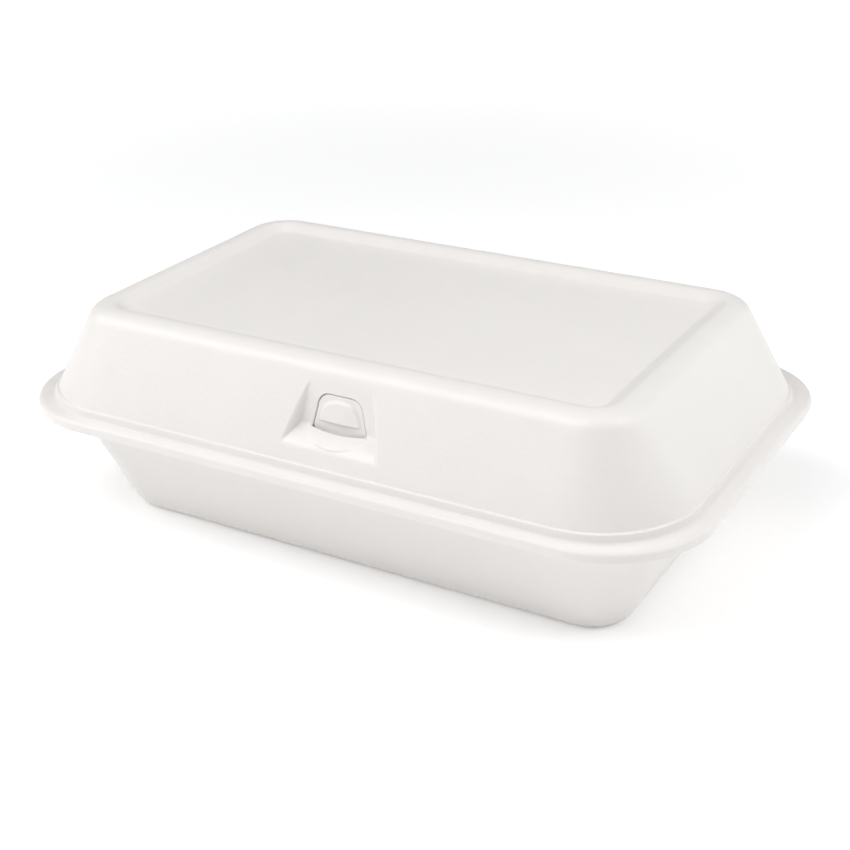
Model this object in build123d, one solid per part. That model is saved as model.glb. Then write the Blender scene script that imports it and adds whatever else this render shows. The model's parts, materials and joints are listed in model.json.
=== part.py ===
from build123d import *
import math
import os

# Foam clamshell container: a deep tray and a shallower lid, moulded from one
# sheet of polystyrene foam, with a fold along the rear and a lock tab in front.
# Millimetres. +X runs along the length, the front with its tab faces -Y, +Z is
# up, and the origin is the middle of the underside.

# The foam sheet and the gaps between pieces that move past each other
FOAM = 2.3
RUNNING_GAP = 0.3
SKIRT_GAP = 0.5

# The rim, which is the outline of the closed container
RIM_HALF_LENGTH = 116.5
RIM_FRONT = 73.9
RIM_REAR = 74.7
RIM_FRONT_RADIUS = 33.3
RIM_REAR_RADIUS = 31.5
PARTING_HEIGHT = 40.0

# Tray: the rim stands out from the wall, and the wall leans in to the bottom
TRAY_END_RIM_WIDTH = 8.3
TRAY_SIDE_RIM_WIDTH = 9.1
TRAY_RIM_THICKNESS = 1.9
TRAY_END_LEAN = 17.9
TRAY_SIDE_LEAN = 18.2
TRAY_BOTTOM_RADIUS = 13.0
TRAY_BOTTOM_ROUNDING = 4.5
TRAY_MOUTH_ROUNDING = 1.5

# Lid: rim, riser, leaning wall, rounded shoulder and sunken top panel
LID_RIM_THICKNESS = 2.3
LID_RIM_ROUNDING = 1.3
LID_END_RIM_WIDTH = 4.6
LID_SIDE_RIM_WIDTH = 3.7
LID_RISER_HEIGHT = 2.6
LID_RISER_LEAN = 0.8
LID_LEDGE_WIDTH = 0.6
LID_WALL_HEIGHT = 27.8
LID_END_LEAN = 16.5
LID_SIDE_LEAN = 13.4
LID_TOP_RADIUS = 13.7
LID_SHOULDER_ROUNDING = 5.6
PANEL_MARGIN = 6.0
PANEL_DEPTH = 3.6
PANEL_STEP_LEAN = 1.0
PANEL_RADIUS = 8.5

# Skirt: the lid's lip, which hangs over the tray's rim in front and at the ends
SKIRT_THICKNESS = 1.5
SKIRT_DROP = 1.1

# Hinge strip: the pressed fold between the two rims
STRIP_HALF_LENGTH = 75.0
STRIP_RADIUS = 1.2

# Pocket in the lid's front wall: an upright panel over a sloping ledge
TAB_OFFSET = 8.0
POCKET_TOP_DROP = 5.7
POCKET_BOTTOM_DROP = 22.4
POCKET_TOP_HALF_WIDTH = 11.0
POCKET_BOTTOM_HALF_WIDTH = 16.0
POCKET_PANEL_HALF_WIDTH = 13.4
POCKET_PANEL_LEAN = 1.8
LEDGE_RISE = 3.6
POCKET_OVERRUN = 0.35
POCKET_CUT_DEPTH = 12.0

# Window in the pocket: the foam left round it, and how far it bites into the ledge
WINDOW_SIDE_MARGIN = 4.1
WINDOW_TOP_SIDE_MARGIN = 3.4
WINDOW_TOP_MARGIN = 3.0
WINDOW_ROUNDING = 3.0
WINDOW_BITE = 2.0

# Lock tab: a leaning tongue with a nose that stands in the window, clear of its edges
TAB_THICKNESS = 2.2
TAB_SIDE_GAP = 1.7
TAB_TIP_ROUNDING = 4.8
TONGUE_LIP_GAP = 0.52
TAB_NOSE_ROUNDING = 1.2
TAB_ROOT_INSET = 1.4
NOSE_FRONT_GAP = 0.5
NOSE_LOWER_GAP = 2.8
NOSE_UPPER_GAP = 1.4

# Levels and edges that follow from the sizes above
RIM_TOP = PARTING_HEIGHT + LID_RIM_THICKNESS
WALL_FOOT = RIM_TOP + LID_RISER_HEIGHT
LID_TOP = WALL_FOOT + LID_WALL_HEIGHT
RISER_HALF_LENGTH = RIM_HALF_LENGTH - LID_END_RIM_WIDTH
RISER_HALF_WIDTH = RIM_FRONT - LID_SIDE_RIM_WIDTH
FOOT_HALF_LENGTH = RISER_HALF_LENGTH - LID_RISER_LEAN - LID_LEDGE_WIDTH
FOOT_HALF_WIDTH = RISER_HALF_WIDTH - LID_RISER_LEAN - LID_LEDGE_WIDTH
FOOT_RADIUS = RIM_FRONT_RADIUS - LID_END_RIM_WIDTH / 2
TRAY_MOUTH_RADIUS = RIM_FRONT_RADIUS - TRAY_END_RIM_WIDTH / 2
HINGE_Y = RIM_REAR + RUNNING_GAP
TAB_ROOT_Y = -(RIM_FRONT - TRAY_SIDE_RIM_WIDTH) + TAB_ROOT_INSET
TAB_ROOT_Z = PARTING_HEIGHT + RUNNING_GAP + TAB_THICKNESS / 2
WINDOW_HALF_WIDTH = POCKET_PANEL_HALF_WIDTH - WINDOW_SIDE_MARGIN
WINDOW_TOP_HALF_WIDTH = POCKET_TOP_HALF_WIDTH - WINDOW_TOP_SIDE_MARGIN
WINDOW_TOP = LID_TOP - POCKET_TOP_DROP - WINDOW_TOP_MARGIN
TAB_ROOT_HALF_WIDTH = WINDOW_HALF_WIDTH - TAB_SIDE_GAP
TAB_TIP_HALF_WIDTH = WINDOW_TOP_HALF_WIDTH - TAB_SIDE_GAP


def outline(z, half_length, front, rear, front_radius, rear_radius):
    """Flat face at height z: a rectangle from -front to +rear with rounded corners."""
    corners = [(-half_length, -front), (half_length, -front), (half_length, rear), (-half_length, rear)]
    radii = [front_radius, front_radius, rear_radius, rear_radius]
    return Pos(0, 0, z) * make_face(FilletPolyline(*corners, radius=radii, close=True))


def rim_outline(z, inset, rear_inset=None):
    """The rim's outline at height z, drawn in by inset, or by rear_inset at the rear."""
    rear_inset = inset if rear_inset is None else rear_inset
    front_radius = RIM_FRONT_RADIUS - inset
    rear_radius = RIM_REAR_RADIUS - inset
    return outline(
        z, RIM_HALF_LENGTH - inset, RIM_FRONT - inset, RIM_REAR - rear_inset, front_radius, rear_radius
    )


def hinge_notch():
    """Room for the hinge strip, cut from the rear edge of a rim."""
    reach = STRIP_RADIUS + RUNNING_GAP
    length = 2 * (STRIP_HALF_LENGTH + RUNNING_GAP)
    return Pos(0, HINGE_Y, PARTING_HEIGHT) * Box(length, 2 * reach, 4 * LID_RIM_THICKNESS)


def tray_section(z, inset):
    """Outline of the tray's wall at height z, drawn in by inset; it leans in towards the bottom."""
    share = 1 - z / PARTING_HEIGHT
    half_length = RIM_HALF_LENGTH - TRAY_END_RIM_WIDTH - TRAY_END_LEAN * share - inset
    half_width = RIM_FRONT - TRAY_SIDE_RIM_WIDTH - TRAY_SIDE_LEAN * share - inset
    radius = TRAY_MOUTH_RADIUS + (TRAY_BOTTOM_RADIUS - TRAY_MOUTH_RADIUS) * share - inset
    return outline(z, half_length, half_width, half_width, radius, radius)


def make_base_tray():
    """Leaning walls over a flat bottom, with a flat rim round the mouth."""
    wall_inset = FOAM * math.hypot(PARTING_HEIGHT, TRAY_SIDE_LEAN) / PARTING_HEIGHT
    outside = loft([tray_section(0, 0), tray_section(PARTING_HEIGHT, 0)], ruled=True)
    outside = fillet(outside.edges().group_by(Axis.Z)[0], TRAY_BOTTOM_ROUNDING)
    rim_inset = SKIRT_THICKNESS + SKIRT_GAP
    rim_bottom = PARTING_HEIGHT - TRAY_RIM_THICKNESS
    rim = extrude(rim_outline(rim_bottom, rim_inset, rear_inset=0), TRAY_RIM_THICKNESS)
    cavity = loft([tray_section(FOAM, wall_inset), tray_section(PARTING_HEIGHT, wall_inset)], ruled=True)
    cavity = fillet(cavity.edges().group_by(Axis.Z)[0], TRAY_BOTTOM_ROUNDING)
    tray = outside + rim - cavity
    mouth = tray.faces().sort_by(Axis.Z)[-1].inner_wires()[0]
    tray = fillet(mouth.edges(), TRAY_MOUTH_ROUNDING)
    return tray - hinge_notch()


def lid_section(z, inset):
    """Outline of the lid's wall at height z, drawn in by inset; it leans in towards the top."""
    share = (z - WALL_FOOT) / LID_WALL_HEIGHT
    half_length = FOOT_HALF_LENGTH - LID_END_LEAN * share - inset
    half_width = FOOT_HALF_WIDTH - LID_SIDE_LEAN * share - inset
    radius = FOOT_RADIUS + (LID_TOP_RADIUS - FOOT_RADIUS) * share - inset
    return outline(z, half_length, half_width, half_width, radius, radius)


def panel_section(z, grow):
    """Outline of the sunken panel's step at height z, let out by grow."""
    inset = PANEL_MARGIN + PANEL_STEP_LEAN * (LID_TOP - z) / PANEL_DEPTH - grow
    half_length = FOOT_HALF_LENGTH - LID_END_LEAN - inset
    half_width = FOOT_HALF_WIDTH - LID_SIDE_LEAN - inset
    return outline(z, half_length, half_width, half_width, PANEL_RADIUS + grow, PANEL_RADIUS + grow)


def wall_front(z):
    """Place of the lid's front wall along Y at height z."""
    return -(FOOT_HALF_WIDTH - LID_SIDE_LEAN * (z - WALL_FOOT) / LID_WALL_HEIGHT)


def riser_outline(z, inset):
    """Outline of the short step between the lid's rim and wall at height z, drawn in by inset."""
    lean = LID_RISER_LEAN * (z - RIM_TOP) / LID_RISER_HEIGHT + inset
    half_width = RISER_HALF_WIDTH - lean
    return outline(
        z, RISER_HALF_LENGTH - lean, half_width, half_width, FOOT_RADIUS - inset, FOOT_RADIUS - inset
    )


def pocket_corners():
    """The pocket's edges seen from the end, as (y, z): top, back of the ledge, front of the ledge."""
    top_z = LID_TOP - POCKET_TOP_DROP
    front_z = LID_TOP - POCKET_BOTTOM_DROP
    top = Vector(wall_front(top_z), top_z)
    back = Vector(wall_front(top_z) - POCKET_PANEL_LEAN, front_z + LEDGE_RISE)
    front = Vector(wall_front(front_z), front_z)
    return top, back, front


def pocket_solid(grow):
    """Wedge-shaped pocket: upright panel, sloping ledge and slanted ends, grown by grow all round.

    Seen from the end it is a triangle, whose top and front corners run on past the wall by the
    share OVERRUN of their own edges, so that it cuts clean.
    """
    top, back, front = pocket_corners()
    panel_run = (top - back).normalized()
    ledge_run = (front - back).normalized()
    panel_normal = Vector(panel_run.Y, -panel_run.X)
    ledge_normal = Vector(-ledge_run.Y, ledge_run.X)
    half_turn = math.radians(panel_run.get_angle(ledge_run)) / 2
    corner = back - (panel_run + ledge_run).normalized() * (grow / math.sin(half_turn))
    top_end = top + (top - back) * POCKET_OVERRUN + panel_normal * grow
    front_end = front + (front - back) * POCKET_OVERRUN + ledge_normal * grow
    top_spread = POCKET_TOP_HALF_WIDTH - POCKET_PANEL_HALF_WIDTH
    front_spread = POCKET_BOTTOM_HALF_WIDTH - POCKET_PANEL_HALF_WIDTH
    half_widths = [
        POCKET_TOP_HALF_WIDTH + top_spread * POCKET_OVERRUN,
        POCKET_PANEL_HALF_WIDTH,
        POCKET_BOTTOM_HALF_WIDTH + front_spread * POCKET_OVERRUN,
    ]
    ends = []
    for side in (-1, 1):
        points = [
            (TAB_OFFSET + side * (half_width + grow), point.X, point.Y)
            for half_width, point in zip(half_widths, (top_end, corner, front_end))
        ]
        ends.append(make_face(Polyline(*points, close=True)))
    return loft(ends, ruled=True)


def window_lip():
    """Lip where the window bites into the ledge, as y, and z of its lower and upper edges."""
    back, front = pocket_corners()[1:]
    ledge_slope = (back.Y - front.Y) / (back.X - front.X)
    upper = back.Y - WINDOW_BITE * ledge_slope
    lower = upper - FOAM * math.hypot(1, ledge_slope)
    return back.X - WINDOW_BITE, lower, upper


def window_solid():
    """Arched opening through the pocket's panel, which also takes the back edge off the ledge."""
    lip_y, lip_lower, _ = window_lip()
    bottom = lip_lower - FOAM
    shoulder = pocket_corners()[1].Y
    points = [
        (-WINDOW_HALF_WIDTH, bottom),
        (WINDOW_HALF_WIDTH, bottom),
        (WINDOW_HALF_WIDTH, shoulder),
        (WINDOW_TOP_HALF_WIDTH, WINDOW_TOP),
        (-WINDOW_TOP_HALF_WIDTH, WINDOW_TOP),
        (-WINDOW_HALF_WIDTH, shoulder),
    ]
    arch = make_face(Polyline(*points, close=True))
    arch = fillet(arch.vertices().group_by(Axis.Y)[-1], WINDOW_ROUNDING)
    front_plane = Plane(origin=(TAB_OFFSET, lip_y, 0), x_dir=(1, 0, 0), z_dir=(0, -1, 0))
    return extrude(front_plane * arch, -POCKET_CUT_DEPTH)


def make_lid():
    """Leaning walls under a sunken panel, with a rim, a skirt and the pocket for the lock tab."""
    end_slope = LID_END_LEAN / LID_WALL_HEIGHT
    wall_inset = FOAM * math.hypot(1, end_slope)
    wall = loft([lid_section(WALL_FOOT, 0), lid_section(LID_TOP, 0)], ruled=True)
    wall = fillet(wall.edges().group_by(Axis.Z)[-1], LID_SHOULDER_ROUNDING)
    panel_floor = LID_TOP - PANEL_DEPTH
    wall -= loft([panel_section(panel_floor, 0), panel_section(LID_TOP, 0)], ruled=True)

    rim = extrude(rim_outline(PARTING_HEIGHT, 0), LID_RIM_THICKNESS)
    rim = fillet(rim.edges().group_by(Axis.Z)[-1], LID_RIM_ROUNDING)
    riser = loft([riser_outline(RIM_TOP, 0), riser_outline(WALL_FOOT, 0)], ruled=True)

    ceiling = LID_TOP - FOAM
    cavity = loft([lid_section(WALL_FOOT, wall_inset), lid_section(ceiling, wall_inset)], ruled=True)
    cavity = fillet(cavity.edges().group_by(Axis.Z)[-1], LID_SHOULDER_ROUNDING - FOAM)
    cavity -= loft([panel_section(panel_floor - FOAM, FOAM), panel_section(ceiling, FOAM)], ruled=True)
    mouth = loft([riser_outline(PARTING_HEIGHT, FOAM), lid_section(WALL_FOOT, wall_inset)], ruled=True)

    pocket_back = pocket_solid(FOAM) & loft([lid_section(WALL_FOOT, 0), lid_section(LID_TOP, 0)], ruled=True)
    shell = wall + riser + rim - cavity - mouth + pocket_back - pocket_solid(0) - window_solid()
    return shell + make_skirt() - hinge_notch()


def make_skirt():
    """Lip under the lid's rim, round the front and the ends as far as the rear corners."""
    bottom = PARTING_HEIGHT - SKIRT_DROP
    ring = extrude(rim_outline(bottom, 0) - rim_outline(bottom, SKIRT_THICKNESS), SKIRT_DROP)
    skirt_end = RIM_REAR - RIM_REAR_RADIUS
    front_part = Pos(0, skirt_end, bottom) * Box(
        2 * RIM_HALF_LENGTH,
        RIM_FRONT + skirt_end,
        SKIRT_DROP,
        align=(Align.CENTER, Align.MAX, Align.MIN),
    )
    return ring & front_part


def make_lock_tab():
    """Leaning tongue that rises from the tray's mouth to a nose, whose front is an arc about the hinge.

    The tongue leans back just far enough to pass the lip's lower edge with TONGUE_LIP_GAP to spare.
    """
    lip_y, lip_lower, lip_upper = window_lip()
    nose_reach = math.hypot(HINGE_Y - lip_y, lip_lower - PARTING_HEIGHT) - NOSE_FRONT_GAP
    nose_bottom = lip_upper + NOSE_LOWER_GAP
    nose_top = WINDOW_TOP - NOSE_UPPER_GAP
    nose_middle = (nose_bottom + nose_top) / 2

    def nose_front(z):
        return HINGE_Y - math.sqrt(nose_reach**2 - (z - PARTING_HEIGHT) ** 2)

    lip_direction = math.atan2(lip_lower - TAB_ROOT_Z, lip_y - TAB_ROOT_Y)
    lip_distance = math.hypot(lip_lower - TAB_ROOT_Z, lip_y - TAB_ROOT_Y)
    lean = lip_direction - math.asin((TAB_THICKNESS / 2 + TONGUE_LIP_GAP) / lip_distance)
    rise = nose_bottom - TAB_ROOT_Z
    run = rise / math.tan(lean)
    nose_back = TAB_ROOT_Y + run + TAB_THICKNESS / 2
    front = ThreePointArc(*((nose_front(z), z) for z in (nose_bottom, nose_middle, nose_top)))
    sides = Polyline(
        (nose_front(nose_top), nose_top),
        (nose_back, nose_top),
        (nose_back, nose_bottom),
        (nose_front(nose_bottom), nose_bottom),
    )
    nose = make_face(front + sides)
    lower, upper = nose.vertices().group_by(Axis.Y)
    nose = fillet([lower.sort_by(Axis.X)[0], *upper], TAB_NOSE_ROUNDING)

    tongue = Rot(0, 0, math.degrees(lean)) * SlotCenterToCenter(math.hypot(run, rise), TAB_THICKNESS)
    tongue = Pos(TAB_ROOT_Y + run / 2, TAB_ROOT_Z + rise / 2) * tongue
    profile = extrude(Plane.YZ * (tongue + nose), TAB_ROOT_HALF_WIDTH, both=True)

    front_view = [
        (-TAB_ROOT_HALF_WIDTH, PARTING_HEIGHT),
        (TAB_ROOT_HALF_WIDTH, PARTING_HEIGHT),
        (TAB_TIP_HALF_WIDTH, nose_top),
        (-TAB_TIP_HALF_WIDTH, nose_top),
    ]
    tapered = make_face(Polyline(*front_view, close=True))
    tapered = fillet(tapered.vertices().group_by(Axis.Y)[-1], TAB_TIP_ROUNDING)
    return Pos(TAB_OFFSET, 0, 0) * (profile & extrude(Plane.XZ * tapered, 2 * RIM_FRONT, both=True))


def make_hinge_strip():
    """Round pressed bar along the hinge axis."""
    return Pos(0, HINGE_Y, PARTING_HEIGHT) * Rot(0, 90, 0) * Cylinder(STRIP_RADIUS, 2 * STRIP_HALF_LENGTH)


PIECES = {
    "base_tray": make_base_tray,
    "lid": make_lid,
    "lock_tab": make_lock_tab,
    "hinge_strip": make_hinge_strip,
}

os.makedirs("parts", exist_ok=True)
for name, make in PIECES.items():
    export_step(make(), f"parts/{name}.step")
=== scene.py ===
import json
import math

import bmesh
import bpy
import numpy as np
from mathutils import Matrix, Vector


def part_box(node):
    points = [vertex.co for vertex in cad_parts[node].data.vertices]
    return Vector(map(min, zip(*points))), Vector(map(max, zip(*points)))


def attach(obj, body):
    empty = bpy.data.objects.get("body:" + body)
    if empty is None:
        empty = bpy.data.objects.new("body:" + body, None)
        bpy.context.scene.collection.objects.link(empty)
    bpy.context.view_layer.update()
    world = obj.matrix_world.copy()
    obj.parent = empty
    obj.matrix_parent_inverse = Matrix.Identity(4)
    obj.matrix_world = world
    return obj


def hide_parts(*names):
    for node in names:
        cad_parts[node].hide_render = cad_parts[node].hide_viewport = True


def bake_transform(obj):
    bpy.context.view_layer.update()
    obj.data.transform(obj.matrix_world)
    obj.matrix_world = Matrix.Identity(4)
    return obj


# Foam clamshell container, closed, on a light table. The shells, the lock tab and the fold
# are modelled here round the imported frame. Sizes are in millimetres, and MM makes them metres.
# The container's length runs along x, its front faces -y, and it stands on z = 0.

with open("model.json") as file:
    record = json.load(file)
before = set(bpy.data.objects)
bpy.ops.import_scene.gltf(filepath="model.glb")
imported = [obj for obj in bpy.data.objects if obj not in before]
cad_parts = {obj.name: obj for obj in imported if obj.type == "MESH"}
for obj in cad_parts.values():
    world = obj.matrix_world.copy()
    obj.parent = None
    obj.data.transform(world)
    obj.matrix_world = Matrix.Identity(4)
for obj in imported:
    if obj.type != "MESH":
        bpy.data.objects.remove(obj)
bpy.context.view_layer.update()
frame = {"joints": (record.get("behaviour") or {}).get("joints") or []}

# A millimetre in metres, and the distance in millimetres under which points are welded
MM = 0.001
WELD = 0.001


def box_mm(node):
    """Lowest and highest corner of a frame node in millimetres."""
    low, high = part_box(node)
    return np.array(low) / MM, np.array(high) / MM


def joint_place(name):
    """Where a joint of the frame sits, in millimetres."""
    joint = next(joint for joint in frame["joints"] if joint["name"] == name)
    return np.array(joint["pos_m"]) / MM


tray_high = box_mm("base_tray")[1]
lid_low, lid_high = box_mm("lid")
tab_low, tab_high = box_mm("lock_tab")
strip_high = box_mm("hinge_strip")[1]

# The foam sheet, and the rim that is the outline of the closed container
FOAM = 2.3
RIM_HALF_LENGTH = lid_high[0]
RIM_FRONT = -lid_low[1]
RIM_REAR = tray_high[1]
RIM_FRONT_RADIUS = 33.3
RIM_REAR_RADIUS = 31.5
PARTING = tray_high[2]
HINGE_Y, HINGE_Z = joint_place("lid_hinge")[1:]

# Notch that draws the rear rims in to NOTCH_Y along the fold, and fades past the fold's ends
FOLD_HALF_LENGTH = strip_high[0]
NOTCH_START = 71.0
NOTCH_Y = 73.5
NOTCH_FULL_BEFORE_END = 0.5
NOTCH_GONE_AFTER_END = 2.5

# Tray: its wall leans in from the mouth at the rim to the bottom
TRAY_HALF_LENGTH = RIM_HALF_LENGTH - 8.3
TRAY_HALF_WIDTH = RIM_FRONT - 9.1
TRAY_END_LEAN = 17.9
TRAY_SIDE_LEAN = 18.2
TRAY_MOUTH_RADIUS = 29.15
TRAY_BOTTOM_RADIUS = 13.0
TRAY_RIM_THICKNESS = 1.9
TRAY_RIM_INSET = 2.0
TRAY_WALL_INSET = 2.53
TRAY_FLAT_INSET = 8.0
TRAY_LEAST_RADIUS = 3.0
LID_SEAT_GAP = 0.05

# Lid: rim with a skirt, riser, leaning wall and sunken top panel
SKIRT_BOTTOM = lid_low[2]
SKIRT_THICKNESS = 1.5
SKIRT_END_Y = 44.0
SKIRT_FADE = 3.0
SKIRT_LEFT_SHARE = 0.02
RIM_TOP = PARTING + FOAM
RISER_HALF_LENGTH = RIM_HALF_LENGTH - 4.6
RISER_HALF_WIDTH = RIM_FRONT - 3.7
RISER_LEAN = 0.8
RISER_LEDGE = 0.6
WALL_FOOT = RIM_TOP + 2.6
LID_TOP = lid_high[2]
FOOT_HALF_LENGTH = RISER_HALF_LENGTH - RISER_LEAN - RISER_LEDGE
FOOT_HALF_WIDTH = RISER_HALF_WIDTH - RISER_LEAN - RISER_LEDGE
FOOT_RADIUS = 31.0
LID_END_LEAN = 16.5
LID_SIDE_LEAN = 13.4
LID_TOP_RADIUS = 13.7
LID_WALL_INSET = 2.67
PANEL_MARGIN = 6.0
PANEL_DEPTH = 2.3
PANEL_STEP_LEAN = 4.3
PANEL_RADIUS = 8.5
PANEL_LEAST_RADIUS = 0.3
PANEL_FLAT_INSET = 4.0
CEILING_FLAT_INSET = 5.0

# Pocket in the lid's front wall: a leaning panel over a ledge, between two sloping ends. Heights
# and half widths at its top, at the ledge's back and at the ledge's front, then the widths over
# which its creases are rounded. Its edge softens from top to ledge over SOFTNESS_CHANGE.
TAB_X = (tab_low[0] + tab_high[0]) / 2
POCKET_TOP_Z = LID_TOP - 5.7
POCKET_FRONT_Z = LID_TOP - 22.4
POCKET_BACK_Z = POCKET_FRONT_Z + 3.6
POCKET_PANEL_LEAN = 1.8
POCKET_TOP_HALF_WIDTH = 11.0
POCKET_BACK_HALF_WIDTH = 13.4
POCKET_FRONT_HALF_WIDTH = 16.0
POCKET_TOP_SOFTNESS = 0.45
LEDGE_SOFTNESS = 2.0
SOFTNESS_CHANGE = (POCKET_TOP_Z - 7.0, POCKET_TOP_Z - 1.0)
LEDGE_CREASE = 1.2
END_CREASE = 1.6
INSIDE_CREASE = 0.8

# Faint arc on the ledge: a circle, how far it stands out, and where its edge and sides fade
LEDGE_ARC_RADIUS = 20.0
LEDGE_ARC_LOW_Z = POCKET_FRONT_Z - 0.7
LEDGE_ARC_RISE = 0.5
LEDGE_ARC_EDGE = 0.9
LEDGE_ARC_FADE_Z = (POCKET_BACK_Z - 2.0, POCKET_BACK_Z + 0.5)
LEDGE_ARC_FADE_X = (11.0, 13.5)

# Window in the pocket
WINDOW_HALF_WIDTH = 9.3
WINDOW_TOP_HALF_WIDTH = 7.9
WINDOW_TOP_Z = POCKET_TOP_Z - 3.0
WINDOW_ROUNDING = 4.2
LIP_BITE = 1.3
LIP_HALF_WIDTH = 10.5
EDGE_ROUNDING = 0.4

# The middle of a quarter circle, as shares of its two ends and of the corner it rounds
ROUND_END_SHARE = 0.293
ROUND_CORNER_SHARE = 0.414

# Patch of the lid's front wall that the pocket's own mesh fills
PATCH_HALF_WIDTH = 21.0
PATCH_LOW_Z = 46.8
PATCH_HIGH_Z = 68.6
PATCH_HIGH_Z_INSIDE = 68.0
PATCH_COLUMNS = 66
PATCH_ROWS = 36

# Right corners (x, z) of the outline in that mesh that lies a little outside the pocket's edge
SURROUND_LOW = np.array([POCKET_FRONT_HALF_WIDTH + 1.0, POCKET_FRONT_Z - 0.8])
SURROUND_HIGH = np.array([POCKET_TOP_HALF_WIDTH + 0.9, POCKET_TOP_Z + 0.5])

# Lock tab: the tongue from the tray's rim, the plate in the window and the nose on the plate
TAB_THICKNESS = 2.2
TAB_ROOT_HALF_WIDTH = WINDOW_HALF_WIDTH - 1.7
TAB_ROOT_DEPTH = 1.2
TAB_ROOT_FLARE = 1.4
TAB_ROOT_SOFTNESS = 1.5
TAB_BEND_SOFTNESS = 0.5
TAB_WINDOW_GAP = 0.18
TAB_EDGE_ROUNDING = 0.4
TAB_LARGEST_RADIUS_SHARE = 0.45
LIP_CLEARANCE = 0.4
PLATE_RECESS = 0.25
NOSE_LOWER_GAP = 2.3
NOSE_HALF_WIDTH = 7.4
NOSE_TOP_HALF_WIDTH = 6.2
NOSE_TOP_GAP = 1.2
NOSE_ROUNDING = 5.6
NOSE_FLANK = 1.0
NOSE_CROWN = 0.65
NOSE_LIP_GAP = 0.35

# Fold: a U of two half circles with a leg let into each rim, smaller at its ends
FOLD_INNER_RADIUS = 0.55
FOLD_OUTER_RADIUS = 1.15
FOLD_LEG = 2.1
FOLD_LEG_THICKNESS = 1.2
FOLD_END_LENGTH = 1.0
FOLD_END_SHRINK = 0.35
FOLD_MIDDLE_Y = 0.2

# Fineness of the meshes: points on roundings and bends, rings between a flat's middle and its
# edge and in the patch, rows up the tab, and sections along the fold
ROUND_POINTS = 7
SMALL_ROUND_POINTS = 4
WINDOW_CORNER_POINTS = 12
FAN_RINGS = 8
POCKET_RINGS = 26
SURROUND_RINGS = 8
TONGUE_ROWS = 40
PLATE_ROWS = 56
TIP_ROWS = 9
FOLD_BEND_POINTS = 15
FOLD_LEG_POINTS = 6
FOLD_SECTIONS = 101


# ---------------------------------------------------------------- outlines and profiles


def make_columns(patch_columns=PATCH_COLUMNS, corner=26, side=36, front=28, rear=72):
    """Fixed places round a rounded rectangle, one entry per column of a swept mesh.

    A column stands at x = end (half_length - r) + x0 + r nx and
    y = -front_share (front - r_front) + rear_share (rear - r_rear) + r ny,
    where r is the corner radius on its own side. Columns across the pocket keep a fixed x0.
    """
    low = TAB_X - PATCH_HALF_WIDTH
    high = TAB_X + PATCH_HALF_WIDTH

    def stretch(count, **values):
        """count columns, each value given as a number or as a function of the share along."""
        share = np.arange(count) / count
        names = ("end", "x0", "nx", "ny", "front_share", "rear_share", "at_rear")
        made = {name: values.get(name, 0.0) for name in names}
        filled = {name: value(share) if callable(value) else value for name, value in made.items()}
        return np.array([np.broadcast_to(filled[name], count) for name in names], float)

    def turn(start, **values):
        """A corner's quarter circle of normals from the angle start, in degrees."""
        return stretch(
            corner,
            nx=lambda s: np.cos(math.radians(start) + s * math.pi / 2),
            ny=lambda s: np.sin(math.radians(start) + s * math.pi / 2),
            **values,
        )

    parts = [
        stretch(front, end=lambda s: s - 1, x0=lambda s: s * low, ny=-1, front_share=1),
        stretch(patch_columns, x0=lambda s: low + s * (high - low), ny=-1, front_share=1),
        stretch(front, end=lambda s: s, x0=lambda s: (1 - s) * high, ny=-1, front_share=1),
        turn(-90, end=1, front_share=1),
        stretch(side, end=1, nx=1, front_share=lambda s: 1 - s, rear_share=lambda s: s),
        turn(0, end=1, rear_share=1, at_rear=1),
        stretch(rear, end=lambda s: 1 - 2 * s, ny=1, rear_share=1, at_rear=1),
        turn(90, end=-1, rear_share=1, at_rear=1),
        stretch(side, end=-1, nx=-1, front_share=lambda s: s, rear_share=lambda s: 1 - s),
        turn(180, end=-1, front_share=1),
    ]
    return np.concatenate(parts, axis=1), front


def swept(rows, columns):
    """Points (row, column, xyz) of rounded rectangles, by make_columns' formula.

    A row holds half_length, front, rear, front radius, rear radius and z.
    """
    half_length, front, rear, front_radius, rear_radius, z = (rows[:, i : i + 1] for i in range(6))
    end, x0, nx, ny, front_share, rear_share, at_rear = columns
    radius = np.where(at_rear > 0, rear_radius, front_radius)
    x = end * (half_length - radius) + x0 + radius * nx
    y = rear_share * (rear - rear_radius) - front_share * (front - front_radius) + radius * ny
    return np.stack([x, y, np.broadcast_to(z, x.shape)], axis=2)


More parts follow.
